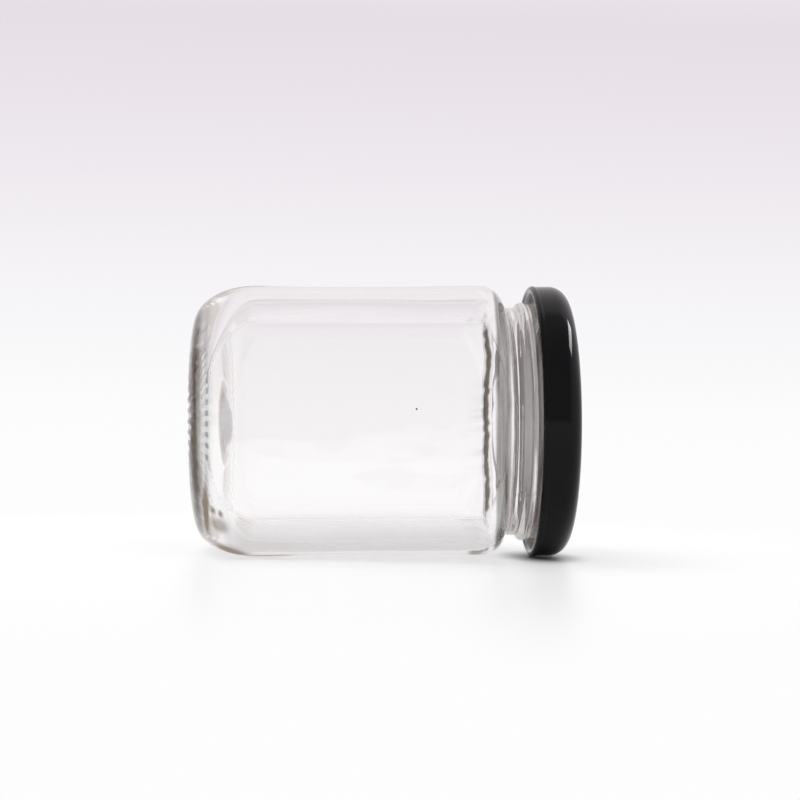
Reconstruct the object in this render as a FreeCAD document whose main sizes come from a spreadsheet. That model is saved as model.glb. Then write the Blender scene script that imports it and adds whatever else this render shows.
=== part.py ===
"""Square glass storage jar with a metal lug lid, empty and lying on its side.

Each piece is built upright on its own axis, local Z, with the bearing ring of the base at zero.
Both are then laid down together, the lid towards +X, so that the curl of the lid and one flat
side of the glass rest on the plane Z = 0.
"""
import FreeCAD, Part
import math
import os
import re

import Sketcher
from FreeCAD import Placement, Rotation, Vector

SIZES = {
    # glass body
    "bodyWidth": 62.2,
    "cornerRadius": 8.0,
    "glassHeight": 89.5,
    "heelInset": 7.5,
    "bearingWidth": 1.8,
    "heelHeight": 16.0,
    "pushUpDepth": 2.2,
    "pushUpRadius": 10.0,
    # inside of the glass
    "wallThickness": 2.8,
    "innerCornerRadius": 7.0,
    "floorHeight": 3.8,
    "floorInset": 7.6,
    "innerHeelHeight": 12.4,
    "domeHeight": 2.9,
    "domeRadius": 12.0,
    "domeTopRadius": 5.0,
    "domeRoot": 0.5,
    "neckWall": 2.4,
    "innerShoulderHeight": 7.4,
    # shoulder and neck
    "cornerBlend": 2.0,
    "shoulderHeight": 7.0,
    "neckDepth": 15.1,
    "shoulderInset": 3.1,
    "finishStep": 0.9,
    "rimRounding": 1.1,
    "beadDrop": 10.7,
    "beadStep": 1.3,
    "beadRounding": 1.4,
    # thread on the glass, one start for each lug
    "threadDepth": 1.8,
    "threadHeight": 1.5,
    "crestLow": 0.4,
    "crestHigh": 1.0,
    "threadSpan": 64.0,
    "threadLead": 21.5,
    "threadRise": 1.6,
    "lugClearance": 0.4,
    # lid
    "lidHeight": 9.0,
    "lidClearance": 2.0,
    "lidMetal": 0.4,
    "lidRounding": 4.4,
    "curlSize": 0.95,
    "curlStand": 0.15,
    "panelDrop": 0.9,
    "panelClearance": 0.7,
    "lugCount": 4.0,
    "lugBite": 0.5,
    "lugHeight": 1.2,
    "lugAngle": 17.0,
    "lugPhase": -31.0,
}
# sizes that follow from the ones above, so that the neck and the lid grow with the body
FOLLOWING = {
    "bearingRadius": "bodyWidth / 2 - heelInset",
    "neckRadius": "bodyWidth / 2 - shoulderInset",
    "boreRadius": "neckRadius - neckWall",
    "finishRadius": "neckRadius + finishStep",
    "beadRadius": "neckRadius + beadStep",
    "threadCrest": "finishRadius + threadDepth",
    "lugReach": "threadCrest - lugBite",
    "lidRadius": "threadCrest + lidClearance + lidMetal + curlStand",
    "lidOpening": "glassHeight + lidMetal - lidHeight",
    "threadLow": "lidOpening + lugHeight + lugClearance",
}
# a loft section that stands for a circle keeps this much straight side
SIDE_LEFT = 0.05
HEEL_ANGLES = (0, 14, 28, 42, 56, 70, 80, 90)
BLEND_STEPS = (0.0, 0.35, 0.7)
SHOULDER_ANGLES = (0, 18, 36, 52, 66, 78, 90)
LAYING_ROUNDS = 6

doc = FreeCAD.newDocument("StorageJar")


def makeSheet():
    """Write every size to the spreadsheet, one alias a row, those that follow as formulas."""
    sheet = doc.addObject("Spreadsheet::Sheet", "Sizes")
    rows = [(name, str(value)) for name, value in SIZES.items()]
    rows += [(name, f"={formula}") for name, formula in FOLLOWING.items()]
    for row, (name, content) in enumerate(rows, start=1):
        sheet.set(f"A{row}", name)
        sheet.set(f"B{row}", content)
        sheet.setAlias(f"B{row}", name)
    doc.recompute()
    return sheet


def sized(formula):
    """Turn the size names in a formula into references to the sheet."""
    names = "|".join([*SIZES, *FOLLOWING])
    return re.sub(rf"\b({names})\b", r"Sizes.\1", formula)


def amount(formula):
    """The value of a formula at the present sizes, in millimetres."""
    value = sheet.evalExpression(sized(formula))
    return float(getattr(value, "Value", value))


def originPlane(body, role):
    return next(item for item in body.Origin.OriginFeatures if item.Role == role)


def newSketch(body, name, role, height="0"):
    sketch = body.newObject("Sketcher::SketchObject", name)
    sketch.AttachmentSupport = [(originPlane(body, role), "")]
    sketch.MapMode = "FlatFace"
    if height != "0":
        sketch.setExpression("AttachmentOffset.Base.z", sized(height))
    return sketch


def bindSize(sketch, name, formula):
    """Name the constraint added last and bind it to the sheet."""
    sketch.renameConstraint(sketch.ConstraintCount - 1, name)
    sketch.setExpression(f"Constraints.{name}", sized(formula))


def roundedSquare(body, name, height, half, radius):
    """A square with round corners, centred on the axis, at a height above the base."""
    sketch = newSketch(body, name, "XY_Plane", height)
    side = amount(half)
    corner = amount(radius)
    straight = side - corner
    for turn in range(4):
        spin = Rotation(Vector(0, 0, 1), 90 * turn)
        start = spin.multVec(Vector(side, -straight, 0))
        end = spin.multVec(Vector(side, straight, 0))
        centre = spin.multVec(Vector(straight, straight, 0))
        circle = Part.Circle(centre, Vector(0, 0, 1), corner)
        first = math.radians(90 * turn)
        sketch.addGeometry(Part.LineSegment(start, end), False)
        sketch.addGeometry(Part.ArcOfCircle(circle, first, first + math.pi / 2), False)
    for turn in range(4):
        line = 2 * turn
        arc = line + 1
        following = (line + 2) % 8
        sketch.addConstraint(Sketcher.Constraint("Tangent", line, 2, arc, 1))
        sketch.addConstraint(Sketcher.Constraint("Tangent", arc, 2, following, 1))
        level = "Vertical" if turn % 2 == 0 else "Horizontal"
        sketch.addConstraint(Sketcher.Constraint(level, line))
        if turn:
            sketch.addConstraint(Sketcher.Constraint("Equal", 1, arc))
    sketch.addConstraint(Sketcher.Constraint("Symmetric", 1, 3, 5, 3, -1, 1))
    sketch.addConstraint(Sketcher.Constraint("Radius", 1, corner))
    bindSize(sketch, "corner", radius)
    sketch.addConstraint(Sketcher.Constraint("DistanceX", -1, 1, 0, 1, side))
    bindSize(sketch, "halfWidth", half)
    sketch.addConstraint(Sketcher.Constraint("DistanceY", -1, 1, 2, 1, side))
    bindSize(sketch, "halfDepth", half)
    return sketch


def outline(body, name, corners, role="XZ_Plane"):
    """A closed outline of straight sides, each corner a pair of formulas: radius and height."""
    sketch = newSketch(body, name, role)
    points = [Vector(amount(across), amount(along), 0) for across, along in corners]
    count = len(points)
    for index, point in enumerate(points):
        sketch.addGeometry(Part.LineSegment(point, points[(index + 1) % count]), False)
    for index in range(count):
        sketch.addConstraint(Sketcher.Constraint("Coincident", index, 2, (index + 1) % count, 1))
    for index, (across, along) in enumerate(corners):
        point = points[index]
        if across == "0":
            sketch.addConstraint(Sketcher.Constraint("PointOnObject", index, 1, -2))
        else:
            sketch.addConstraint(Sketcher.Constraint("DistanceX", -1, 1, index, 1, point.x))
            bindSize(sketch, f"across{index}", across)
        if along == "0":
            sketch.addConstraint(Sketcher.Constraint("PointOnObject", index, 1, -1))
        else:
            sketch.addConstraint(Sketcher.Constraint("DistanceY", -1, 1, index, 1, point.y))
            bindSize(sketch, f"along{index}", along)
    return sketch


def loft(body, kind, name, sections):
    """Join rounded squares, each a height, a half width and a corner radius, by a smooth loft."""
    sketches = [roundedSquare(body, f"{name}Section{index}", *section)
                for index, section in enumerate(sections)]
    feature = body.newObject(kind, name)
    feature.Profile = sketches[0]
    feature.Sections = sketches[1:]
    feature.Ruled = False
    doc.recompute()
    return feature


def turned(body, kind, name, sketch):
    feature = body.newObject(kind, name)
    feature.Profile = sketch
    feature.ReferenceAxis = (sketch, ["V_Axis"])
    feature.Angle = 360
    doc.recompute()
    return feature


def prism(body, kind, name, sketch, length):
    """Pad a sketch upwards, or pocket it upwards, by a length."""
    feature = body.newObject(kind, name)
    feature.Profile = sketch
    feature.setExpression("Length", sized(length))
    feature.Reversed = kind == "PartDesign::Pocket"
    doc.recompute()
    return feature


def heelSections(low, tall, narrow, wide, corner):
    """Sections of a heel: a circle at the bottom that widens on an ellipse into the square."""
    sections = []
    for angle in HEEL_ANGLES:
        rise = 1 - math.cos(math.radians(angle))
        out = math.sin(math.radians(angle))
        half = f"({narrow}) + (({wide}) - ({narrow})) * {out:.6f}"
        round_ = f"({corner}) + (({narrow}) - {SIDE_LEFT} - ({corner})) * {1 - out:.6f}"
        sections.append((f"({low}) + ({tall}) * {rise:.6f}", half, round_))
    return sections


def ringEdges(feature, radius, height):
    """Names of the round edges of a feature that lie at a radius and a height."""
    names = []
    for index, edge in enumerate(feature.Shape.Edges, start=1):
        box = edge.BoundBox
        flat = box.ZLength < 1e-4 and abs(box.ZMin - height) < 1e-3
        if flat and isinstance(edge.Curve, Part.Circle) and abs(edge.Curve.Radius - radius) < 1e-3:
            names.append(f"Edge{index}")
    return names


def filleted(body, name, radius, rings):
    """Round the ring edges named by pairs of formulas: radius and height."""
    base = body.Tip
    names = []
    for across, along in rings:
        names += ringEdges(base, amount(across), amount(along))
    if len(names) < len(rings):
        raise RuntimeError(f"{name}: {len(names)} edges found for {len(rings)} rings")
    feature = body.newObject("PartDesign::Fillet", name)
    feature.Base = (base, names)
    feature.setExpression("Radius", sized(radius))
    doc.recompute()
    return feature


def pieceBody(name):
    body = doc.addObject("PartDesign::Body", name)
    body.Label = name
    doc.recompute()
    return body


def shoulderSections(start):
    """The corners round off first, then the sides turn in on an ellipse to the neck."""
    side = "bodyWidth / 2"
    blendStart = f"{start} - cornerBlend"
    blendHeight = "(cornerBlend + shoulderHeight)"
    sections = []
    for step in BLEND_STEPS:
        sections.append((f"{blendStart} + cornerBlend * {step}", side, f"cornerBlend * {step}"))
    for angle in SHOULDER_ANGLES:
        rise = math.sin(math.radians(angle))
        inward = 1 - math.cos(math.radians(angle))
        half = f"{side} - ({side} - neckRadius) * {inward:.6f}"
        sections.append((f"{start} + shoulderHeight * {rise:.6f}", half,
                         f"cornerBlend + shoulderHeight * {rise:.6f}"))
    rounded = []
    for height, half, travel in sections:
        share = f"(({travel}) / {blendHeight}) ^ 2"
        corner = f"cornerRadius + (neckRadius - {SIDE_LEFT} - cornerRadius) * {share}"
        rounded.append((height, half, corner))
    return rounded


def innerShoulderSections(start):
    """The inside of the shoulder follows the outside: it turns in to the bore on an ellipse."""
    side = "(bodyWidth / 2 - wallThickness)"
    sections = []
    for angle in SHOULDER_ANGLES:
        rise = math.sin(math.radians(angle))
        inward = 1 - math.cos(math.radians(angle))
        half = f"{side} - ({side} - boreRadius) * {inward:.6f}"
        corner = f"innerCornerRadius + (boreRadius - {SIDE_LEFT} - innerCornerRadius) * {rise ** 2:.6f}"
        sections.append((f"{start} + innerShoulderHeight * {rise:.6f}", half, corner))
    return sections


def arcSketch(body, name, corners, azimuth):
    """An outline in the upright plane that stands at an azimuth, for a part turn about the axis."""
    sketch = outline(body, name, corners)
    sketch.setExpression("AttachmentOffset.Rotation.Axis.x", "0")
    sketch.setExpression("AttachmentOffset.Rotation.Axis.y", "1")
    sketch.setExpression("AttachmentOffset.Rotation.Axis.z", "0")
    sketch.setExpression("AttachmentOffset.Rotation.Angle", sized(azimuth))
    doc.recompute()
    return sketch


def repeated(body, name, feature, axisSketch):
    """Repeat a feature round the axis, once for each lug."""
    pattern = body.newObject("PartDesign::PolarPattern", name)
    pattern.Originals = [feature]
    pattern.Axis = (axisSketch, ["V_Axis"])
    pattern.Angle = 360
    pattern.setExpression("Occurrences", sized("lugCount"))
    body.Tip = pattern
    doc.recompute()
    return pattern


def ringBead(body, name, height, reach, rounding):
    """A round bead about the axis that reaches out to a radius."""
    bead = body.newObject("PartDesign::AdditiveTorus", name)
    bead.AttachmentSupport = [(originPlane(body, "XY_Plane"), "")]
    bead.MapMode = "FlatFace"
    bead.setExpression("AttachmentOffset.Base.z", sized(height))
    bead.setExpression("Radius1", sized(f"{reach} - {rounding}"))
    bead.setExpression("Radius2", sized(rounding))
    doc.recompute()
    return bead


def buildJar():
    body = pieceBody("glass_jar")
    side = "bodyWidth / 2"
    neckStart = "glassHeight - neckDepth"
    shoulderStart = "glassHeight - neckDepth - shoulderHeight"

    heel = heelSections("0", "heelHeight", "bearingRadius", side, "cornerRadius")
    loft(body, "PartDesign::AdditiveLoft", "Heel", heel)
    wall = roundedSquare(body, "WallSection", "heelHeight", side, "cornerRadius")
    prism(body, "PartDesign::Pad", "Wall", wall, f"{shoulderStart} - cornerBlend - heelHeight")
    loft(body, "PartDesign::AdditiveLoft", "Shoulder", shoulderSections(shoulderStart))

    neck = outline(body, "NeckOutline", [
        ("0", shoulderStart),
        ("neckRadius", shoulderStart),
        ("neckRadius", "glassHeight - beadDrop"),
        ("finishRadius", "glassHeight - beadDrop"),
        ("finishRadius", "glassHeight"),
        ("0", "glassHeight"),
    ])
    turned(body, "PartDesign::Revolution", "Neck", neck)
    ringBead(body, "Bead", "glassHeight - beadDrop", "beadRadius", "beadRounding")

    ridge = arcSketch(body, "ThreadOutline", [
        ("neckRadius", "threadLow"),
        ("finishRadius", "threadLow"),
        ("threadCrest", "threadLow + crestLow"),
        ("threadCrest", "threadLow + crestHigh"),
        ("finishRadius", "threadLow + threadHeight"),
        ("neckRadius", "threadLow + threadHeight"),
    ], "lugPhase - threadLead")
    thread = body.newObject("PartDesign::AdditiveHelix", "Thread")
    thread.Profile = ridge
    thread.ReferenceAxis = (ridge, ["V_Axis"])
    thread.Mode = 0
    thread.setExpression("Pitch", sized("threadRise * 360 / threadSpan"))
    thread.setExpression("Height", sized("threadRise"))
    doc.recompute()
    repeated(body, "Threads", thread, neck)

    inner = f"({side} - wallThickness)"
    floor = heelSections("floorHeight", "innerHeelHeight", f"{inner} - floorInset", inner,
                         "innerCornerRadius")
    loft(body, "PartDesign::SubtractiveLoft", "Floor", floor)
    innerLow = "floorHeight + innerHeelHeight"
    innerHigh = f"{neckStart} - innerShoulderHeight"
    room = roundedSquare(body, "RoomSection", innerLow, inner, "innerCornerRadius")
    prism(body, "PartDesign::Pocket", "Room", room, f"{innerHigh} - ({innerLow})")
    loft(body, "PartDesign::SubtractiveLoft", "InnerShoulder", innerShoulderSections(innerHigh))
    bore = outline(body, "BoreOutline", [
        ("0", neckStart),
        ("boreRadius", neckStart),
        ("boreRadius", "glassHeight"),
        ("0", "glassHeight"),
    ])
    turned(body, "PartDesign::Groove", "Bore", bore)
    dome = outline(body, "DomeOutline", [
        ("0", "floorHeight - domeRoot"),
        ("domeRadius", "floorHeight - domeRoot"),
        ("domeRadius", "floorHeight"),
        ("domeTopRadius", "floorHeight + domeHeight"),
        ("0", "floorHeight + domeHeight"),
    ])
    turned(body, "PartDesign::Revolution", "FloorDome", dome)
    pushUp = outline(body, "PushUpOutline", [
        ("0", "0"),
        ("bearingRadius - bearingWidth", "0"),
        ("pushUpRadius", "pushUpDepth"),
        ("0", "pushUpDepth"),
    ])
    turned(body, "PartDesign::Groove", "PushUp", pushUp)
    filleted(body, "Rim", "rimRounding", [("boreRadius", "glassHeight"), ("finishRadius", "glassHeight")])
    return body


def buildLid():
    body = pieceBody("lid")
    top = "(glassHeight + lidMetal)"
    skirt = "(lidRadius - curlStand)"
    recess = "(boreRadius - panelClearance)"
    section = outline(body, "LidOutline", [
        ("0", f"{top} - panelDrop"),
        (f"{recess} - lidMetal", f"{top} - panelDrop"),
        (f"{recess} - lidMetal", top),
        (skirt, top),
        (skirt, "lidOpening + curlSize"),
        (f"{skirt} - lidMetal", "lidOpening + curlSize"),
        (f"{skirt} - lidMetal", "glassHeight"),
        (recess, "glassHeight"),
        (recess, "glassHeight - panelDrop"),
        ("0", "glassHeight - panelDrop"),
    ])
    turned(body, "PartDesign::Revolution", "Shell", section)
    filleted(body, "Shoulder", "lidRounding", [(skirt, top)])
    filleted(body, "InnerShoulder", "lidRounding - lidMetal", [(f"{skirt} - lidMetal", "glassHeight")])
    ringBead(body, "Curl", "lidOpening + curlSize", "lidRadius", "curlSize")
    lug = arcSketch(body, "LugOutline", [
        ("lugReach", "lidOpening + curlSize - lugHeight / 2"),
        ("lidRadius - curlSize", "lidOpening + curlSize - lugHeight / 2"),
        ("lidRadius - curlSize", "lidOpening + curlSize + lugHeight / 2"),
        ("lugReach", "lidOpening + curlSize + lugHeight / 2"),
    ], "lugPhase - lugAngle / 2")
    tab = body.newObject("PartDesign::Revolution", "Lug")
    tab.Profile = lug
    tab.ReferenceAxis = (lug, ["V_Axis"])
    tab.setExpression("Angle", sized("lugAngle"))
    doc.recompute()
    repeated(body, "Lugs", tab, section)
    return body


def layingAngle():
    """Tilt of the axis when the curl of the lid and the elliptic heel rest on one flat plane."""
    curl = amount("curlSize")
    heelHeight = amount("heelHeight")
    heelDepth = amount("bodyWidth / 2 - bearingRadius")
    slope = 0.0
    for _ in range(LAYING_ROUNDS):
        spread = math.hypot(heelHeight * math.tan(slope), heelDepth)
        along = amount("lidOpening + curlSize") - heelHeight
        along += heelHeight ** 2 * math.tan(slope) / spread
        across = amount("lidRadius - curlSize - bearingRadius") - heelDepth ** 2 / spread
        slope = max(0.0, math.atan2(across, along) + math.asin(curl / math.hypot(along, across)))
    return math.degrees(slope)


def layDown(bodies):
    """Turn the pieces onto their side, then centre their box on the origin and stand it at zero."""
    turn = Rotation(Vector(0, 1, 0), 90 - layingAngle())
    for body in bodies:
        body.Placement = Placement(Vector(0, 0, 0), turn)
    doc.recompute()
    boxes = [body.Shape.optimalBoundingBox() for body in bodies]
    middle = (min(box.XMin for box in boxes) + max(box.XMax for box in boxes)) / 2
    bottom = min(box.ZMin for box in boxes)
    for body in bodies:
        body.Placement = Placement(Vector(-middle, 0, -bottom), turn)
    doc.recompute()


def checkModel(bodies):
    """Stop on any failed object and on any piece that is not one valid solid."""
    for item in doc.Objects:
        if any(word in ("Invalid", "Error") for word in item.State):
            raise RuntimeError(f"{item.Name}: {item.State}")
    for body in bodies:
        shape = body.Shape
        if shape.isNull() or not shape.isValid() or len(shape.Solids) != 1:
            raise RuntimeError(f"{body.Label}: not one valid solid")
        print(f"{body.Label}: {shape.Volume / 1000:.2f} cm3")


sheet = makeSheet()
pieces = [buildJar(), buildLid()]
layDown(pieces)
checkModel(pieces)
os.makedirs("parts", exist_ok=True)
for piece in pieces:
    piece.Shape.exportStep(f"parts/{piece.Label}.step")
print(f"tilt {layingAngle():.2f} degrees")
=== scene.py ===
import bisect
import math

import bmesh
import bpy
from mathutils import Matrix, Vector, noise


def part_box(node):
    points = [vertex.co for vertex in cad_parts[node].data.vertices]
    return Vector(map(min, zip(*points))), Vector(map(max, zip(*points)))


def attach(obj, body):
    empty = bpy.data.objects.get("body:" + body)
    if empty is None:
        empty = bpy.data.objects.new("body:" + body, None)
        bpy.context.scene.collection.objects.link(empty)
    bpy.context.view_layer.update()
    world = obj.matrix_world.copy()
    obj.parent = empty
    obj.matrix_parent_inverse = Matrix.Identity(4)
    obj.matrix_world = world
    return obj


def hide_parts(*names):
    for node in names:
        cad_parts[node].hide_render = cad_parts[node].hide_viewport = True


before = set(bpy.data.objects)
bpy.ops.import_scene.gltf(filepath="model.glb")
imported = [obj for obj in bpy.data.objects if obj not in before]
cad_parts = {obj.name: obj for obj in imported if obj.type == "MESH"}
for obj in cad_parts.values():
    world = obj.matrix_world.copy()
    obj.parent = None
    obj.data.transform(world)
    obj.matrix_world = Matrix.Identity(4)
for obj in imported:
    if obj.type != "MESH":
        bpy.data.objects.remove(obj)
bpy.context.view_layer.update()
mm = 0.001
print("frame loaded")


def faceCentre(node, side):
    # the faces that look along the axis lie evenly round it
    centre = Vector()
    area = 0.0
    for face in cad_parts[node].data.polygons:
        if face.normal.x * side > 0.99:
            centre += face.center * face.area
            area += face.area
    return centre / area


baseCentre = faceCentre("glass_jar", -1) * Vector((1, 0, 1))
axis = (faceCentre("lid", 1) * Vector((1, 0, 1)) - baseCentre).normalized()
down = Vector((axis.z, 0, -axis.x))
across = Vector((0, 1, 0))


def reachAlong(node):
    steps = [(point.co - baseCentre).dot(axis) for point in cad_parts[node].data.vertices]
    return min(steps), max(steps)


baseCentre += axis * reachAlong("glass_jar")[0]
glassHeight = reachAlong("glass_jar")[1] / mm
skin = 0.018  # kept inside the solids, in mm
lidOpening, lidTop = (step / mm for step in reachAlong("lid"))
lidTop -= skin
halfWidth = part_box("glass_jar")[1].y / mm - skin
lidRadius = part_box("lid")[1].y / mm - skin


def place(step, radius, angle):
    # a point at a height above the base, in mm, and round the axis from the side it lies on
    outward = down * math.cos(angle) + across * math.sin(angle)
    return baseCentre + axis * (step * mm) + outward * (radius * mm)


def smooth(value):
    value = min(max(value, 0.0), 1.0)
    return value * value * (3 - 2 * value)


def bump(distance, width):
    return math.exp(-(distance / width) ** 2)


def turnBetween(angle, middle):
    # signed turn from one angle to another, in degrees
    return (math.degrees(angle) - middle + 180) % 360 - 180


def cornerFold(angle):
    # turn from the middle of the nearest flat side
    return abs((angle + math.pi / 4) % (math.pi / 2) - math.pi / 4)


def squareReach(angle, half, corner):
    # distance from the axis to a square with round corners
    fold = cornerFold(angle)
    straight = half - corner
    if half * math.tan(fold) <= straight:
        return half / math.cos(fold)
    middle = straight * (math.cos(fold) + math.sin(fold))
    return middle + math.sqrt(max(middle * middle - 2 * straight * straight + corner * corner, 0))


def ringMesh(name, rings, count, detail, shade=None):
    # each ring is a height, a half width, a corner radius, a crowding of points at the corners, a zone
    points = []
    shades = []
    for step, half, corner, crowd, zone in rings:
        if half == 0:
            points.append([place(step, 0, 0)])
            shades.append((0, 0, 0, 1))
            continue
        ring = []
        for index in range(count):
            turn = 2 * math.pi * index / count
            angle = turn + crowd / 4 * math.sin(4 * turn)
            reach = squareReach(angle, half, corner)
            newStep, newReach = detail(zone, step, reach, angle)
            ring.append(place(newStep, newReach, angle))
            shades.append(shade(zone, step, reach, angle) if shade else (0, 0, 0, 1))
        points.append(ring)
    starts = []
    flat = []
    for ring in points:
        starts.append(len(flat))
        flat += ring
    faces = []
    for first, second, a, b in zip(points, points[1:], starts, starts[1:]):
        for index in range(count):
            following = (index + 1) % count
            if len(first) == 1:
                faces.append((a, b + following, b + index))
            elif len(second) == 1:
                faces.append((a + index, a + following, b))
            else:
                faces.append((a + index, a + following, b + following, b + index))
    mesh = bpy.data.meshes.new(name)
    mesh.from_pydata([point[:] for point in flat], [], faces)
    mesh.update()
    mesh.polygons.foreach_set("use_smooth", [True] * len(mesh.polygons))
    if shade:
        colours = mesh.color_attributes.new("shade", "FLOAT_COLOR", "POINT")
        colours.data.foreach_set("color", [value for colour in shades for value in colour])
    piece = bpy.data.objects.new(name, mesh)
    bpy.context.scene.collection.objects.link(piece)
    return piece


jar = {
    "cornerRadius": 8.0,
    "bearingRadius": 23.6,
    "bearingWidth": 1.8,
    "heelHeight": 16.0,
    "markedTo": 27,
    "pushUpDepth": 2.2,
    "pushUpRadius": 8.0,
    "knurls": 62,
    "pointsPerKnurl": 6,
    "knurlDepth": 0.55,
    "knurlFrom": 21.7,
    "knurlFadeIn": 0.6,
    "knurlTo": 25.3,
    "knurlFadeOut": 1.4,
    "cornerCrowd": 0.6,
    "wallThickness": 2.8,
    "innerCornerRadius": 7.0,
    "floorHeight": 3.8,
    "floorInset": 7.6,
    "innerHeelHeight": 12.4,
    "domeHeight": 2.9,
    "domeRadius": 12.5,
    "boreRadius": 25.6,
    "innerShoulderHeight": 7.4,
    "cornerBlend": 2.0,
    "shoulderHeight": 7.0,
    "neckDepth": 15.1,
    "neckRadius": 28.0,
    "neckHollow": ((0.05, 28.45), (0.4, 28.15), (0.9, 28.02), (1.6, 28.0), (2.3, 28.02), (2.75, 28.1)),
    "finishRadius": 28.9,
    "rimRounding": 1.1,
    "beadDrop": 10.7,
    "beadRadius": 29.3,
    "beadRounding": 1.4,
    "threads": 4,
    "threadCrest": 30.7,
    "threadStart": 82.5,
    "threadHeight": 1.5,
    "threadSpan": 64.0,
    "threadRise": 1.6,
    "threadLead": 64 / 3,
    "threadEnd": 5,
    "threadFoot": 0.35,
    "threadTop": 0.45,
    "lugPhase": -31.0,
    "seamAngle": -53.0,
    "seamHeight": 0.2,
    "seamWidth": 0.9,
    "panelSink": 0.3,
    "panelFrom": 17,
    "panelTo": 64,
    "panelFade": 12,
    "waveHeight": 0.13,
    "creaseStep": 68.2,
    "creaseDepth": 0.2,
    "creaseWidth": 0.5,
}


def spread(first, last, count):
    return [first + (last - first) * index / count for index in range(count + 1)]


def outerRings():
    rings = []
    bearing = jar["bearingRadius"]
    inside = bearing - jar["bearingWidth"]
    for radius in spread(0, inside, 11):
        share = smooth((inside - radius) / (inside - jar["pushUpRadius"]))
        rings.append((jar["pushUpDepth"] * share, radius, radius, 0, "pushUp"))
    for radius in spread(inside, bearing, 5)[1:]:
        rings.append((skin, radius, radius, 0, "bearing"))
    # rings lie closest where the heel is seen to turn
    heelTurns = spread(0, 18, 8)[1:] + spread(18, 60, 22)[1:] + spread(60, 90, 8)[1:]
    for turn in [math.radians(value) for value in heelTurns]:
        out = math.sin(turn)
        half = bearing + (halfWidth - bearing) * out
        corner = jar["cornerRadius"] + (bearing - jar["cornerRadius"]) * (1 - out)
        crowd = jar["cornerCrowd"] * smooth((out - 0.3) / 0.6)
        rings.append((max(jar["heelHeight"] * (1 - math.cos(turn)), skin), half, corner, crowd, "heel"))
    neckStart = glassHeight - jar["neckDepth"]
    shoulderStart = neckStart - jar["shoulderHeight"]
    blendStart = shoulderStart - jar["cornerBlend"]
    low, high = jar["heelHeight"], jar["markedTo"]
    for step in spread(low, high, 8)[1:] + spread(high, blendStart, 6)[1:-1]:
        rings.append((step, halfWidth, jar["cornerRadius"], jar["cornerCrowd"], "wall"))
    rise = jar["cornerBlend"] + jar["shoulderHeight"]
    steps = [(step, 0) for step in spread(blendStart, shoulderStart, 4)]
    for turn in spread(0, math.radians(76), 22)[1:]:
        steps.append((shoulderStart + jar["shoulderHeight"] * math.sin(turn), 1 - math.cos(turn)))
    for step, inward in steps:
        share = ((step - blendStart) / rise) ** 2
        half = halfWidth - (halfWidth - jar["neckRadius"]) * inward
        corner = jar["cornerRadius"] + (jar["neckRadius"] - jar["cornerRadius"]) * share
        crowd = jar["cornerCrowd"] * (1 - smooth((step - blendStart) / rise * 1.2))
        rings.append((step, half, min(corner, half), crowd, "shoulder"))
    for step, radius in jar["neckHollow"]:
        rings.append((neckStart + step, radius, radius, 0, "neck"))
    bead = glassHeight - jar["beadDrop"]
    tube = jar["beadRounding"]
    for turn in spread(-72, 42, 12):
        radius = jar["beadRadius"] - tube + tube * math.cos(math.radians(turn))
        rings.append((bead + tube * math.sin(math.radians(turn)), radius, radius, 0, "neck"))
    finish = jar["finishRadius"]
    rimStart = glassHeight - jar["rimRounding"]
    for step in spread(bead + tube, rimStart, 30):
        rings.append((step, finish, finish, 0, "finish"))
    for turn in spread(0, 90, 6)[1:]:
        reach = jar["rimRounding"] * math.cos(math.radians(turn))
        radius = finish - jar["rimRounding"] + reach
        step = rimStart + jar["rimRounding"] * math.sin(math.radians(turn))
        rings.append((step, radius, radius, 0, "rim"))
    return rings


def innerRings():
    rings = []
    bore = jar["boreRadius"]
    side = halfWidth - jar["wallThickness"]
    rimStart = glassHeight - jar["rimRounding"]
    neckStart = glassHeight - jar["neckDepth"]
    shoulderLow = neckStart - jar["innerShoulderHeight"]
    for turn in spread(90, 0, 6):
        radius = bore + jar["rimRounding"] * (1 - math.cos(math.radians(turn)))
        step = rimStart + jar["rimRounding"] * math.sin(math.radians(turn))
        rings.append((step, radius, radius, 0, "rim"))
    for step in spread(rimStart, neckStart, 10)[1:-1]:
        rings.append((step, bore, bore, 0, "bore"))
    turns = spread(90, 34, 12) + spread(34, 4, 26)[1:] + spread(4, 0, 2)[1:]
    for turn in [math.radians(value) for value in turns]:
        rise = math.sin(turn)
        half = side - (side - bore) * (1 - math.cos(turn))
        corner = jar["innerCornerRadius"] + (bore - jar["innerCornerRadius"]) * rise * rise
        crowd = jar["cornerCrowd"] * (1 - smooth(rise * rise))
        step = shoulderLow + jar["innerShoulderHeight"] * rise
        rings.append((step, half, min(corner, half), crowd, "inside"))
    heelTop = jar["floorHeight"] + jar["innerHeelHeight"]
    for step in spread(shoulderLow, heelTop, 14)[1:-1]:
        rings.append((step, side, jar["innerCornerRadius"], jar["cornerCrowd"], "inside"))
    floor = side - jar["floorInset"]
    for turn in spread(math.pi / 2, 0, 20):
        out = math.sin(turn)
        half = floor + jar["floorInset"] * out
        corner = jar["innerCornerRadius"] + (floor - jar["innerCornerRadius"]) * (1 - out)
        step = jar["floorHeight"] + jar["innerHeelHeight"] * (1 - math.cos(turn))
        rings.append((step, half, corner, jar["cornerCrowd"] * smooth(out), "inside"))
    for radius in spread(floor, jar["domeRadius"], 3)[1:] + spread(jar["domeRadius"], 0, 10)[1:]:
        rise = jar["domeHeight"] * smooth(1.12 * (1 - radius / jar["domeRadius"]))
        rings.append((jar["floorHeight"] + rise, radius, radius, 0, "floor"))
    return rings


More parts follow.
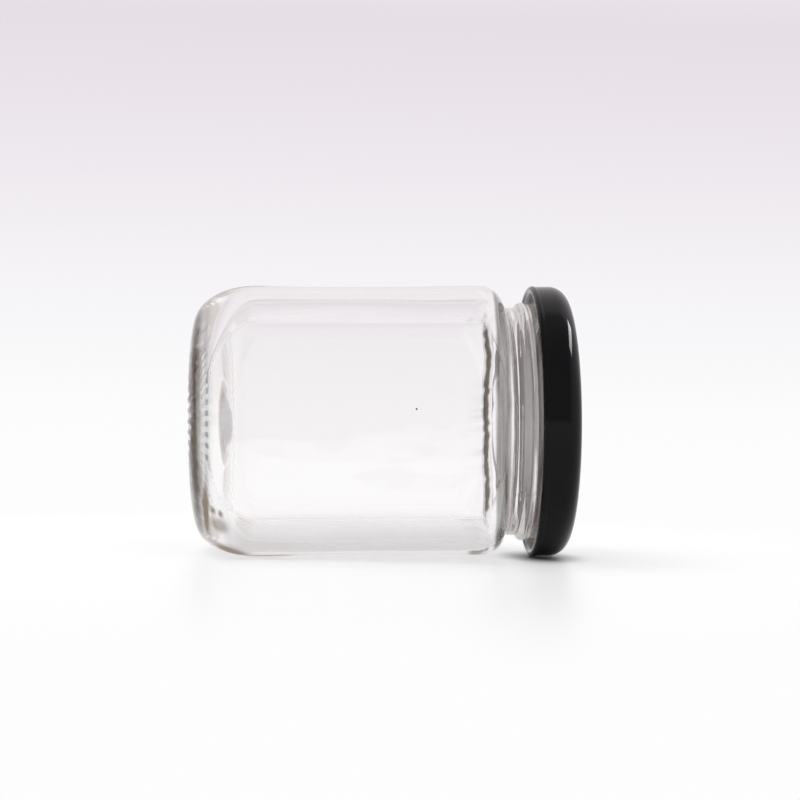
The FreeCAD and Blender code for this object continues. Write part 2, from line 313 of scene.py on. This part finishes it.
def threadHeight(step, angle):
    total = 0.0
    for index in range(jar["threads"]):
        start = jar["lugPhase"] - jar["threadLead"] + 360 / jar["threads"] * index
        turn = (math.degrees(angle) - start) % 360
        if turn > jar["threadSpan"]:
            continue
        level = step - jar["threadStart"] - jar["threadRise"] * turn / jar["threadSpan"]
        level /= jar["threadHeight"]
        ends = smooth(turn / jar["threadEnd"]) * smooth((jar["threadSpan"] - turn) / jar["threadEnd"])
        total += ends * smooth(level / jar["threadFoot"]) * smooth((1 - level) / jar["threadTop"])
    return total * (jar["threadCrest"] - jar["finishRadius"])


jarPaintedShade = {  # painted shade laid into the glass colour, where real glass bends the light of the room darker
    "side": -90,  # the painted shade is strong on this side and faint round the rest, in degrees
    "sideHalf": 66,
    "sideFade": 16,
    "elsewhere": 0.12,
    "creaseShade": 2.4,
    "creaseWidth": 0.56,
    "flatHalf": 39,
    "flatFade": 6,
    "floorShade": 0.62,
    "floorRadius": 11.5,
    "floorFade": 3,
    "neckFrom": 79.2,
    "neckShade": 0.5,
    "neckStreak": 0.9,
    # painted shade of the base and shoulder bands: place above the base in mm, and how dark
    "base": ((-0.1, 0.6), (0.5, 0.72), (1.0, 0.9), (1.6, 0.96), (2.3, 1.0), (2.8, 0.93), (3.2, 0.85),
             (3.7, 0.62), (4.2, 0.35), (4.8, 0.6), (5.6, 0.25), (6.6, 0.0)),
    "shoulder": ((70.1, 0.0), (70.6, 0.9), (71.6, 0.88), (73.2, 0.94), (73.9, 0.7), (74.2, 0.0)),
    # painted shade marks: place along the axis and round it, reach each way, slant, how dark
    "shadeMarks": ((4.2, -57.5, 0.5, 2.0, -3.0, 0.98), (4.6, -54, 0.6, 9.0, 0, 0.93),
              (6.3, -55.5, 0.4, 0.8, 0, 0.97), (8.0, -55, 0.35, 0.7, 0, 0.95),
              (7.8, -51, 1.8, 2.0, 0, 0.5), (10.0, -40.0, 3.4, 2.6, 0, 0.8),
              (18.0, -37.6, 6.0, 1.7, 0, 0.84), (14.0, -142.0, 4.2, 1.6, 0, 0.4),
              (7.0, -141, 2.6, 2.0, 0, 0.2)),
}


def nearSide(angle):
    inside = jarPaintedShade["sideHalf"] - abs(turnBetween(angle, jarPaintedShade["side"]))
    return jarPaintedShade["elsewhere"] + (1 - jarPaintedShade["elsewhere"]) * smooth(inside / jarPaintedShade["sideFade"])


def creaseAt(angle):
    # place and depth of the uneven crease where the wall turns in to the shoulder
    around = Vector((math.cos(angle) * 1.7, math.sin(angle) * 1.7, 0))
    uneven = 0.8 * noise.noise(around * 2 + Vector((7, 3, 1))) + 0.4 * noise.noise(around * 13)
    crease = jar["creaseStep"] + nearSide(angle) * uneven
    return crease, nearSide(angle) * (0.75 + 0.5 * noise.noise(around * 9))


def alongLevels(step, levels):
    # straight-line reading of a table of places and amounts
    if step <= levels[0][0] or step >= levels[-1][0]:
        return 0.0
    index = bisect.bisect_right([level[0] for level in levels], step)
    (low, first), (high, second) = levels[index - 1], levels[index]
    return first + (second - first) * (step - low) / (high - low)


def limited(value, least=0.0, most=1.0):
    return min(max(value, least), most)


def jarShade(zone, step, reach, angle):
    # red is painted shade on what enters the glass, green painted shade on what leaves it, blue the plain
    # brown glow of the painted shade marks at the corners
    x, y = math.cos(angle), math.sin(angle)
    entering = leaving = paintedBrown = 0.0
    # painted shade in a band round the heel, where the glass bends the room's light darker
    if zone in ("bearing", "heel"):
        streak = 0.16 * noise.noise(Vector((x * 2, y * 2, step * 1.3)))
        streak += 0.1 * noise.noise(Vector((x * 30, y * 30, step)))
        entering = alongLevels(step, jarPaintedShade["base"])
        entering = limited(entering + streak * min(entering * 3, 1))
    # painted shade marks at the corners, also given as a plain brown glow
    if zone in ("heel", "wall"):
        for along, middle, long, wide, slant, amount in jarPaintedShade["shadeMarks"]:
            aside = turnBetween(angle, middle) - slant * (step - along)
            if abs(aside) < 3 * wide:
                shadeMark = amount * min(1, 1.8 * bump(step - along, long) * bump(aside, wide))
                entering = max(entering, shadeMark)
                paintedBrown = max(paintedBrown, 0.9 * shadeMark)
    # painted shade in a band at the shoulder
    if zone in ("shoulder", "neck"):
        streak = 0.12 * noise.noise(Vector((x * 3, y * 3, step * 1.8)))
        uneven = 0.25 * noise.noise(Vector((x, y, 0)) * 5)
        entering = alongLevels(step + uneven, jarPaintedShade["shoulder"])
        entering = limited(entering + streak * min(entering * 3, 1))
    # painted shade along the crease, on the light that leaves the glass there
    if zone == "inside":
        crease, depth = creaseAt(angle)
        fold = math.degrees(cornerFold(angle))
        flat = smooth((jarPaintedShade["flatHalf"] - fold) / jarPaintedShade["flatFade"])
        dark = bump(step - crease, jarPaintedShade["creaseWidth"])
        leaving = min(1.0, jarPaintedShade["creaseShade"] * depth * flat * dark)
    # painted shade at the edge of the dome in the floor of the glass
    if zone == "floor":
        entering = jarPaintedShade["floorShade"] * smooth((jarPaintedShade["floorRadius"] - reach) / jarPaintedShade["floorFade"])
    # painted shade over the neck and finish, in uneven streaks
    if zone == "finish" or zone == "neck" and step > jarPaintedShade["neckFrom"]:
        streak = jarPaintedShade["neckStreak"] * noise.noise(Vector((x * 2.5, y * 2.5, step * 1.6)))
        entering = limited(jarPaintedShade["neckShade"] + streak + 0.2 * (zone == "neck"), 0.1, 0.85)
    return entering * nearSide(angle), leaving, paintedBrown, 1


def jarDetail(zone, step, reach, angle):
    here = Vector((math.cos(angle) * 1.7, math.sin(angle) * 1.7, step * 0.045))
    if zone in ("pushUp", "bearing", "heel"):
        weight = smooth((reach - jar["knurlFrom"]) / jar["knurlFadeIn"])
        weight *= 1 - smooth((reach - jar["knurlTo"]) / jar["knurlFadeOut"])
        if step < 3:
            step += jar["knurlDepth"] * weight * (1 - abs(math.sin(angle * jar["knurls"] / 2)))
    if zone == "finish":
        reach += threadHeight(step, angle)
    if zone == "wall":
        sink = smooth((step - jar["panelFrom"]) / jar["panelFade"])
        reach -= jar["panelSink"] * sink * smooth((jar["panelTo"] - step) / jar["panelFade"])
    if zone in ("neck", "finish"):
        for turn in (jar["seamAngle"], jar["seamAngle"] + 180):
            reach += jar["seamHeight"] * bump(turnBetween(angle, turn), jar["seamWidth"])
    if zone in ("inside", "bore"):
        amount = jar["waveHeight"] * (0.3 if zone == "bore" else 1)
        reach += amount * noise.noise(here * 1.5) + amount * 0.2 * noise.noise(here * 5)
        crease, depth = creaseAt(angle)
        reach -= jar["creaseDepth"] * depth * bump(step - crease, jar["creaseWidth"])
    return step, reach


glassJar = ringMesh("glassJar", outerRings() + innerRings(), jar["knurls"] * jar["pointsPerKnurl"],
                    jarDetail, jarShade)
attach(glassJar, "root")
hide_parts("glass_jar")
print("glass jar made:", len(glassJar.data.polygons), "faces")


lid = {
    "points": 288,
    "metal": 0.4,  # thickness of the sheet
    "rounding": 4.4,
    "curlSize": 0.95,
    "curlStand": 0.15,
    "recessRadius": 24.5,
    "panelDrop": 0.9,
    "lugs": 4,
    "lugPhase": -31.0,
    "lugAngle": 17.0,
    "lugReach": 30.2,
    "lugFlat": 0.35,
}


def lidRings():
    rings = []
    skirt = lidRadius - lid["curlStand"]
    metal = lid["metal"]
    panel = lidTop - lid["panelDrop"]
    recess = lid["recessRadius"]

    def add(step, radius, zone):
        rings.append((step, radius, radius, 0, zone))

    for radius in spread(0, recess - 1.4, 6):
        add(panel, radius, "panel")
    for turn in spread(0, 180, 12)[1:]:
        share = (1 - math.cos(math.radians(turn))) / 2
        add(panel + lid["panelDrop"] * share, recess - 1.2 + 1.7 * turn / 180, "panel")
    centre = skirt - lid["rounding"]
    for radius in spread(recess + 0.5, centre, 4)[1:]:
        add(lidTop, radius, "top")
    for turn in spread(0, 90, 16)[1:]:
        reach = math.radians(turn)
        step = lidTop - lid["rounding"] * (1 - math.cos(reach))
        add(step, centre + lid["rounding"] * math.sin(reach), "top")
    curlRadius = lidRadius - lid["curlSize"]
    curlStep = lidOpening + lid["curlSize"]
    for step in spread(lidTop - lid["rounding"], curlStep + 0.9, 4)[1:]:
        add(step, skirt, "skirt")
    # the curl turns inward from the skirt, and its far part carries the lugs
    for turn in spread(30, -255, 28):
        reach = math.radians(turn)
        zone = "curl" if turn > -150 else "lug"
        step = curlStep + lid["curlSize"] * math.sin(reach)
        add(step, curlRadius + lid["curlSize"] * math.cos(reach), zone)
    for step in spread(curlStep + 1.25, lidTop - lid["rounding"], 3):
        add(step, skirt - metal, "liner")
    for turn in spread(90, 0, 10)[1:]:
        reach = math.radians(turn)
        small = lid["rounding"] - metal
        add(lidTop - metal - small * (1 - math.cos(reach)), centre + small * math.sin(reach), "liner")
    for radius in spread(centre, recess + metal + 0.1, 3)[1:]:
        add(lidTop - metal, radius, "liner")
    for turn in spread(0, 180, 8)[1:]:
        share = (1 - math.cos(math.radians(turn))) / 2
        add(lidTop - metal - lid["panelDrop"] * share, recess + metal - 0.8 * turn / 180, "liner")
    for radius in spread(recess - 1, 0, 5)[1:]:
        add(lidTop - metal - lid["panelDrop"], radius, "liner")
    return rings


def lidDetail(zone, step, reach, angle):
    if zone != "lug":
        return step, reach
    turn = min(abs(turnBetween(angle, lid["lugPhase"] + 360 / lid["lugs"] * index))
               for index in range(lid["lugs"]))
    inside = smooth((lid["lugAngle"] / 2 + 1.2 - turn) / 2.4)
    curlRadius = lidRadius - lid["curlSize"]
    curlStep = lidOpening + lid["curlSize"]
    inward = smooth((curlRadius - reach) / lid["curlSize"])
    step = curlStep + (step - curlStep) * (1 - lid["lugFlat"] * inside * inward)
    reach -= inside * inward * (curlRadius - lid["curlSize"] - lid["lugReach"])
    return step, reach


lidRingList = lidRings()
lidPiece = ringMesh("lidShell", lidRingList, lid["points"], lidDetail)
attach(lidPiece, "root")
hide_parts("lid")
print("lid made:", len(lidPiece.data.polygons), "faces")


stone = {"step": 52.4, "height": 2.5, "depth": 29.6, "size": 0.22}
stoneMesh = bpy.data.meshes.new("glassStone")
stonePiece = bpy.data.objects.new("glassStone", stoneMesh)
bpy.context.scene.collection.objects.link(stonePiece)


def stoneShape():
    shape = bmesh.new()
    bmesh.ops.create_icosphere(shape, subdivisions=3, radius=stone["size"] * mm)
    middle = baseCentre + axis * (stone["step"] * mm) - down * (stone["height"] * mm)
    middle -= across * (stone["depth"] * mm)
    for point in shape.verts:
        uneven = 1 + 0.35 * noise.noise(point.co * 4000)
        point.co = middle + point.co * uneven
    shape.to_mesh(stoneMesh)
    shape.free()


stoneShape()
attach(stonePiece, "root")


def material(name, settings):
    made = bpy.data.materials.new(name)
    made.use_nodes = True
    shader = made.node_tree.nodes["Principled BSDF"]
    for socket, value in settings.items():
        shader.inputs[socket].default_value = value
    return made, made.node_tree, shader


def newNode(tree, kind, *values, **settings):
    # sets or links the usable sockets in order and gives the first usable output
    made = tree.nodes.new("ShaderNode" + kind)
    for name, value in settings.items():
        setattr(made, name, value)
    usable = [socket for socket in made.inputs if socket.enabled]
    for socket, value in zip(usable, values):
        if isinstance(value, bpy.types.NodeSocket):
            tree.links.new(value, socket)
        else:
            socket.default_value = value
    return next(socket for socket in made.outputs if socket.enabled)


def ranged(tree, value, low, high, kind="LINEAR", most=1.0):
    return newNode(tree, "MapRange", value, low, high, 0.0, most, interpolation_type=kind)


def lengthOf(tree, vector):
    return newNode(tree, "VectorMath", vector, operation="LENGTH")


def ramp(tree, value, stops):
    made = tree.nodes.new("ShaderNodeValToRGB")
    elements = made.color_ramp.elements
    elements.remove(elements[1])
    elements[0].position, elements[0].color = stops[0][0], (*stops[0][1], 1)
    for position, colour in stops[1:]:
        elements.new(position).color = (*colour, 1)
    tree.links.new(value, made.inputs[0])
    return made.outputs["Color"]


def surfacePlace(tree, kind="Object"):
    # the place as a vector, then its x, y and z
    where = tree.nodes.new("ShaderNodeTexCoord").outputs[kind]
    parts = tree.nodes.new("ShaderNodeSeparateXYZ")
    tree.links.new(where, parts.inputs[0])
    return where, *parts.outputs


def lightPath(tree):
    return tree.nodes.new("ShaderNodeLightPath").outputs


glassLook = {
    "index": 1.52,
    # clear and dark are the two ends of the painted shade laid into the glass colour
    "clear": (0.995, 0.988, 0.99, 1),
    "dark": (0.02, 0.014, 0.008, 1),
    "absorption": (0.92, 0.92, 0.88, 1),
    "density": 9.0,
    "mostMirrored": 3.5,  # after so many reflections, or turns of any kind, a ray ends in the deep light
    "mostTurns": 11.5,
    # the deep light is a painted glow in place of the light of long paths, with a painted dark band at the
    # crease
    "deepLight": (  # from the base to the rim
        (0.0, (0.62, 0.57, 0.54)),
        (0.12, (0.84, 0.81, 0.81)),
        (0.735, (0.84, 0.81, 0.81)),
        (0.755, (0.3, 0.27, 0.25)),
        (0.78, (0.3, 0.27, 0.25)),
        (0.8, (0.55, 0.53, 0.49)),
        (0.9, (0.66, 0.63, 0.62)),
    ),
    "paintedBrown": (0.27, 0.22, 0.17, 1),
}


def clearGlass():
    made, tree, shader = material("clearGlass", {
        "Roughness": 0.0,
        "IOR": glassLook["index"],
        "Transmission Weight": 1.0,
    })
    output = tree.nodes["Material Output"]
    backfacing = tree.nodes.new("ShaderNodeNewGeometry").outputs["Backfacing"]
    channels = tree.nodes.new("ShaderNodeSeparateColor")
    tree.links.new(newNode(tree, "VertexColor", layer_name="shade"), channels.inputs[0])
    entering, leaving, paintedBrown = channels.outputs
    shade = newNode(tree, "Mix", backfacing, entering, leaving)
    paintedShadeColour = newNode(tree, "Mix", shade, glassLook["clear"], glassLook["dark"], data_type="RGBA")
    tree.links.new(paintedShadeColour, shader.inputs["Base Color"])
    absorb = newNode(tree, "VolumeAbsorption", glassLook["absorption"], glassLook["density"])
    tree.links.new(absorb, output.inputs["Volume"])
    path = lightPath(tree)
    more = "GREATER_THAN"
    mirrored = newNode(tree, "Math", path["Glossy Depth"], glassLook["mostMirrored"], operation=more)
    turned = newNode(tree, "Math", path["Ray Depth"], glassLook["mostTurns"], operation=more)
    deep = newNode(tree, "Math", mirrored, turned, operation="MAXIMUM")
    along = ranged(tree, surfacePlace(tree)[1], baseCentre.x, baseCentre.x + glassHeight * mm)
    deepLight = newNode(tree, "Emission", ramp(tree, along, glassLook["deepLight"]))
    clear = newNode(tree, "MixShader", deep, shader.outputs[0], deepLight)
    # the painted shade marks are also a plain brown glow on the outer side, because reflection there hides
    # a tint
    outside = newNode(tree, "Math", paintedBrown, backfacing, operation="SUBTRACT", use_clamp=True)
    withShadeMarks = newNode(tree, "MixShader", outside, clear, newNode(tree, "Emission", glassLook["paintedBrown"]))
    tree.links.new(withShadeMarks, output.inputs["Surface"])
    return made


lacquer = {"grain": 900, "detail": 2, "strength": 0.03, "distance": 0.0001}


def blackLacquer():
    made, tree, shader = material("blackLacquer", {
        "Base Color": (0.0058, 0.0055, 0.0066, 1),
        "Roughness": 0.07,
        "Specular IOR Level": 0.14,
    })
    grain = tree.nodes.new("ShaderNodeTexNoise")
    grain.inputs["Scale"].default_value = lacquer["grain"]
    grain.inputs["Detail"].default_value = lacquer["detail"]
    tree.links.new(surfacePlace(tree)[0], grain.inputs["Vector"])
    peel = tree.nodes.new("ShaderNodeBump")
    peel.inputs["Strength"].default_value = lacquer["strength"]
    peel.inputs["Distance"].default_value = lacquer["distance"]
    tree.links.new(grain.outputs["Fac"], peel.inputs["Height"])
    tree.links.new(peel.outputs["Normal"], shader.inputs["Normal"])
    return made


paleLiner = material("paleLiner", {"Base Color": (0.86, 0.83, 0.82, 1), "Roughness": 0.3})[0]
darkStone = material("darkStone", {"Base Color": (0.03, 0.025, 0.025, 1), "Roughness": 0.6})[0]
glassJar.data.materials.append(clearGlass())
lidPiece.data.materials.append(blackLacquer())
lidPiece.data.materials.append(paleLiner)
stonePiece.data.materials.append(darkStone)
zones = [ring[4] for ring in lidRingList]
for index, face in enumerate(lidPiece.data.polygons):
    zone = zones[min(index // lid["points"] + 1, len(zones) - 1)]  # one row of faces for each ring
    face.material_index = 1 if zone in ("liner", "lug") else 0
print("materials made")


studio = {
    "floorFront": -2.6,
    "floorClose": -1.0,
    "floorBack": 0.22,
    "sweepRadius": 0.35,
    "sweepTop": 2.4,
    "halfSpan": 2.6,
    "seenHeight": 0.7,
    # the plain colour darkens up the backdrop as painted shade, where the light falls off
    "heightColours": (
        (0.0, (0.985, 0.985, 0.985)),
        (0.06, (0.98, 0.975, 0.98)),
        (0.12, (0.94, 0.93, 0.945)),
        (0.2, (0.9, 0.88, 0.905)),
        (0.27, (0.86, 0.82, 0.86)),
        (0.42, (0.79, 0.735, 0.79)),
        (0.5, (0.86, 0.82, 0.85)),
        (1.0, (0.9, 0.87, 0.89)),
    ),
    "endSpan": (0.4, 0.65),
    "endColour": (1.0, 0.96, 1.03, 1),
    "topUp": 0.52,
    "shadowPatchPlace": (0.0395, -0.003, 0),  # placed under the lid
    "shadowPatchScale": (110, 62, 0),
    "shadowPatchFade": (0.3, 1.5),
    "litFade": (0.09, 0.2),  # beyond this the floor and backdrop are seen as plain colour
}


def sweep():
    radius = studio["sweepRadius"]
    back = studio["floorBack"]
    profile = [(studio["floorFront"], 0)]
    profile += [(value, 0) for value in spread(studio["floorClose"], back, 12)]
    for turn in spread(0, 90, 24)[1:]:
        angle = math.radians(turn)
        profile.append((back + radius * math.sin(angle), radius * (1 - math.cos(angle))))
    profile.append((back + radius, studio["sweepTop"]))
    points = [(side * studio["halfSpan"], *point) for side in (-1, 1) for point in profile]
    count = len(profile)
    faces = [(index, index + 1, count + index + 1, count + index) for index in range(count - 1)]
    mesh = bpy.data.meshes.new("sweep")
    mesh.from_pydata(points, [], faces)
    mesh.polygons.foreach_set("use_smooth", [True] * len(mesh.polygons))
    piece = bpy.data.objects.new("sweep", mesh)
    bpy.context.scene.collection.objects.link(piece)
    return piece


def whiteSweep():
    made, tree, shader = material("whiteSweep", {
        "Base Color": (0.5, 0.498, 0.502, 1),
        "Roughness": 0.38,
        "Specular IOR Level": 0.25,
    })
    where, alongX, _, upZ = surfacePlace(tree)
    path = lightPath(tree)
    colours = ramp(tree, ranged(tree, upZ, 0.0, studio["seenHeight"]), studio["heightColours"])
    # painted reflection: reflections find a paler wall at one end, the camera does not
    ends = ranged(tree, alongX, *studio["endSpan"], "SMOOTHSTEP")
    unseen = newNode(tree, "Math", ends, path["Is Camera Ray"], operation="SUBTRACT", use_clamp=True)
    endColour = newNode(tree, "Mix", unseen, colours, studio["endColour"], data_type="RGBA")
    plain = newNode(tree, "Emission", endColour)
    # 1 for what the camera, a reflection or a refraction sees
    seen = newNode(tree, "Math", path["Is Camera Ray"], path["Is Glossy Ray"], operation="MAXIMUM")
    seen = newNode(tree, "Math", seen, path["Is Transmission Ray"], operation="MAXIMUM")
    # painted shadow: the top-up light is left out of a placed patch, where the lid comes down to the floor
    offset = newNode(tree, "VectorMath", where, studio["shadowPatchPlace"], operation="SUBTRACT")
    scaled = newNode(tree, "VectorMath", offset, studio["shadowPatchScale"], operation="MULTIPLY")
    topUp = ranged(tree, lengthOf(tree, scaled), *studio["shadowPatchFade"], "SMOOTHSTEP", studio["topUp"])
    strength = newNode(tree, "Math", seen, topUp, operation="MULTIPLY")
    added = newNode(tree, "Emission", (1, 1, 1, 1), strength)
    lit = newNode(tree, "AddShader", shader.outputs[0], added)
    away = ranged(tree, lengthOf(tree, where), *studio["litFade"], "SMOOTHSTEP")
    share = newNode(tree, "Math", away, seen, operation="MULTIPLY")
    mixed = newNode(tree, "MixShader", share, lit, plain)
    tree.links.new(mixed, tree.nodes["Material Output"].inputs["Surface"])
    return made


sweep().data.materials.append(whiteSweep())


room = {
    "light": (0.86, 0.85, 0.87, 1),
    "strength": 0.72,
    "depthColours": (  # what glass and lacquer see, from the front to the back
        (0.0, (0.55, 0.52, 0.52)),
        (0.2, (0.42, 0.39, 0.39)),
        (0.58, (0.5, 0.47, 0.48)),
        (0.6, (0.72, 0.69, 0.72)),
        (1.0, (0.85, 0.83, 0.86)),
    ),
    "endSpan": (0.55, 0.85),
    "endColour": (1.0, 0.96, 1.03, 1),
    "seenWhite": (0.9, 0.88, 0.9, 1),
}


def studioWorld():
    world = bpy.data.worlds.new("studio")
    bpy.context.scene.world = world
    world.use_nodes = True
    tree = world.node_tree
    _, alongX, backY, _ = surfacePlace(tree, "Generated")
    depthColour = ramp(tree, ranged(tree, backY, -1, 1), room["depthColours"])
    ends = ranged(tree, alongX, *room["endSpan"], "SMOOTHSTEP")
    roomColour = newNode(tree, "Mix", ends, depthColour, room["endColour"], data_type="RGBA")
    path = lightPath(tree)
    glossy, through = path["Is Glossy Ray"], path["Is Transmission Ray"]
    seenByGlass = newNode(tree, "Math", glossy, through, operation="MAXIMUM")
    light = tree.nodes["Background"]
    light.inputs["Color"].default_value = room["light"]
    light.inputs["Strength"].default_value = room["strength"]
    seenRoom = newNode(tree, "Background", roomColour)
    mixed = newNode(tree, "MixShader", seenByGlass, light.outputs[0], seenRoom)
    white = newNode(tree, "Background", room["seenWhite"])
    final = newNode(tree, "MixShader", path["Is Camera Ray"], mixed, white)
    tree.links.new(final, tree.nodes["World Output"].inputs["Surface"])


studioWorld()


lamps = {
    "overhead": {"place": (-0.35, 0.1, 1.0), "size": (0.7, 0.5), "power": 3.4},
    "softbox": {"place": (0.59, 0.075, 0.6), "size": (0.42, 0.15), "power": 3.2},
    "target": (0, 0, 0.03),
}


def softLamp(name):
    data = bpy.data.lights.new(name, "AREA")
    data.shape = "RECTANGLE"
    data.size, data.size_y = lamps[name]["size"]
    data.energy = lamps[name]["power"]
    lamp = bpy.data.objects.new(name, data)
    lamp.location = lamps[name]["place"]
    aim = Vector(lamps["target"]) - Vector(lamps[name]["place"])
    lamp.rotation_euler = aim.to_track_quat("-Z", "Y").to_euler()
    bpy.context.scene.collection.objects.link(lamp)
    return lamp


overhead = softLamp("overhead")
overhead.visible_glossy = False
overhead.visible_transmission = False
softbox = softLamp("softbox")
softbox.visible_diffuse = False
softbox.visible_transmission = False
lidOnly = bpy.data.collections.new("lidOnly")
lidOnly.objects.link(lidPiece)
softbox.light_linking.receiver_collection = lidOnly
print("studio made")


view = {
    "place": (-5.6, -361.0, 27.16),
    "yaw": -0.0278,
    "roll": 0.0242,
    "lens": 65.95,
    "sensor": 36,
    "shift": 0.0535,
    "clip": (0.01, 20),
}
forward = Vector((-math.sin(view["yaw"]), math.cos(view["yaw"]), 0))
level = Vector((math.cos(view["yaw"]), math.sin(view["yaw"]), 0))
upright = Vector((0, 0, 1))
right = level * math.cos(view["roll"]) + upright * math.sin(view["roll"])
top = upright * math.cos(view["roll"]) - level * math.sin(view["roll"])
cameraData = bpy.data.cameras.new("camera")
cameraData.lens = view["lens"]
cameraData.sensor_width = view["sensor"]
cameraData.shift_y = view["shift"]
cameraData.clip_start, cameraData.clip_end = view["clip"]
camera = bpy.data.objects.new("camera", cameraData)
camera.matrix_world = Matrix((right, top, -forward)).transposed().to_4x4()
camera.location = Vector(view["place"]) * mm
bpy.context.scene.collection.objects.link(camera)
bpy.context.scene.camera = camera
bpy.context.scene.view_settings.view_transform = "Standard"
print("camera placed")
